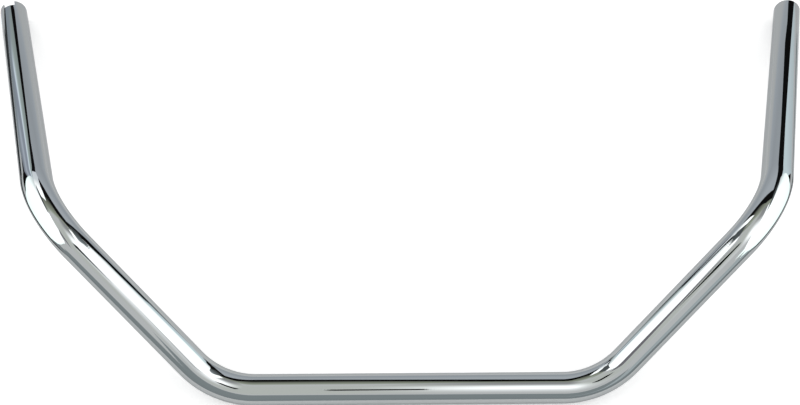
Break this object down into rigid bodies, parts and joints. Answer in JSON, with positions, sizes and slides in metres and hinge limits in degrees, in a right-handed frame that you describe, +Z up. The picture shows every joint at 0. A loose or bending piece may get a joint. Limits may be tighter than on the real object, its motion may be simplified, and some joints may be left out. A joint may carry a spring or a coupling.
{
  "type": "motorcycle handlebar",
  "caption": "Chromed steel motorcycle handlebar bent from round tube, with a straight clamped section, angled risers and swept-back grip ends, one notched for the throttle.",
  "frame": {"origin": "on the tube's axis at the middle of the clamped section", "axes": "+X along the clamped section to the rider's left, +Y back towards the rider, +Z up"},
  "size_m": [0.8049, 0.4261, 0.1282],
  "materials": {
    "chrome": "polished chrome plate on steel tube"
  },
  "bodies": {
    "root": {"handlebar_tube": "chrome"}
  },
  "joints": []
}
